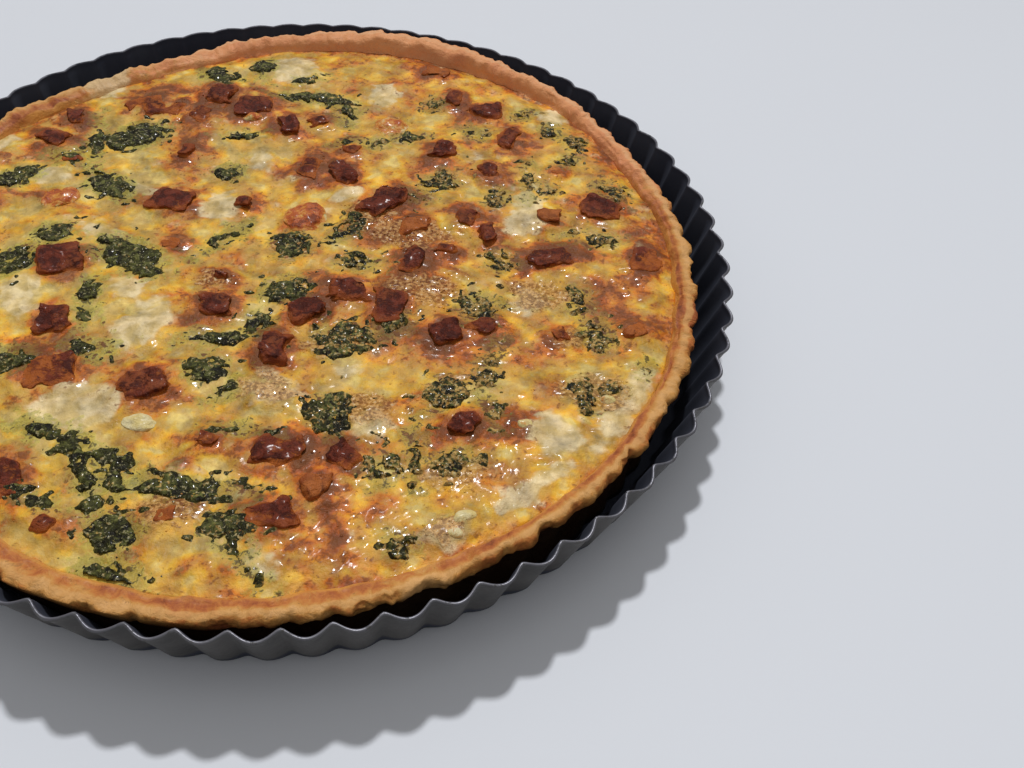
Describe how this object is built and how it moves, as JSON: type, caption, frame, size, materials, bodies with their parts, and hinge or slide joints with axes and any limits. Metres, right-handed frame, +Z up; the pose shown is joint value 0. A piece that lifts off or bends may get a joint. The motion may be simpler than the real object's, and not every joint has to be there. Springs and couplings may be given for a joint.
{
  "type": "quiche in its tart tin",
  "caption": "Whole baked spinach and bacon quiche with a shortcrust case, standing in its dark fluted tart tin.",
  "frame": {"origin": "centre of the tin's flat base, on the surface it stands on", "axes": "+Z up along the tin's axis; +Y points away from the front, the side from which the quiche is mostly seen; +X to the right"},
  "size_m": [0.2798, 0.2798, 0.0312],
  "materials": {
    "tin": "dark non-stick coating on pressed steel, satin",
    "pastry": "baked shortcrust, matt and crumbly, browned along its edge",
    "custard": "set egg custard, yellow with orange-brown patches, moist and glossy",
    "bacon": "browned bacon, dark red-brown, greasy sheen",
    "cheese": "melted and browned cheese, moist",
    "spinach": "wilted spinach, nearly black green, wet"
  },
  "bodies": {
    "root": {"tin": "tin", "pastry_case": "pastry", "filling": "custard", "lardon_01": "bacon", "lardon_02": "bacon", "lardon_03": "bacon", "lardon_04": "bacon", "lardon_05": "bacon", "lardon_06": "bacon", "lardon_07": "bacon", "lardon_08": "bacon", "lardon_09": "bacon", "lardon_10": "bacon", "lardon_11": "bacon", "lardon_12": "bacon", "lardon_13": "bacon", "lardon_14": "bacon", "lardon_15": "bacon", "lardon_16": "bacon", "lardon_17": "bacon", "lardon_18": "bacon", "lardon_19": "bacon", "lardon_20": "bacon", "lardon_21": "bacon", "lardon_22": "bacon", "lardon_23": "bacon", "lardon_24": "bacon", "lardon_25": "bacon", "lardon_26": "bacon", "lardon_27": "bacon", "lardon_28": "bacon", "lardon_29": "bacon", "lardon_30": "bacon", "lardon_31": "bacon", "lardon_32": "bacon", "lardon_33": "bacon", "lardon_34": "bacon", "lardon_35": "bacon", "lardon_36": "bacon", "lardon_37": "bacon", "lardon_38": "bacon", "lardon_39": "bacon", "lardon_40": "bacon", "lardon_41": "bacon", "lardon_42": "bacon", "lardon_43": "bacon", "lardon_44": "bacon", "lardon_45": "bacon", "lardon_46": "bacon", "cheese_01": "cheese", "cheese_02": "cheese", "cheese_03": "cheese", "cheese_04": "cheese", "spinach_01": "spinach", "spinach_02": "spinach", "spinach_03": "spinach", "spinach_04": "spinach", "spinach_05": "spinach", "spinach_06": "spinach", "spinach_07": "spinach"}
  },
  "joints": []
}
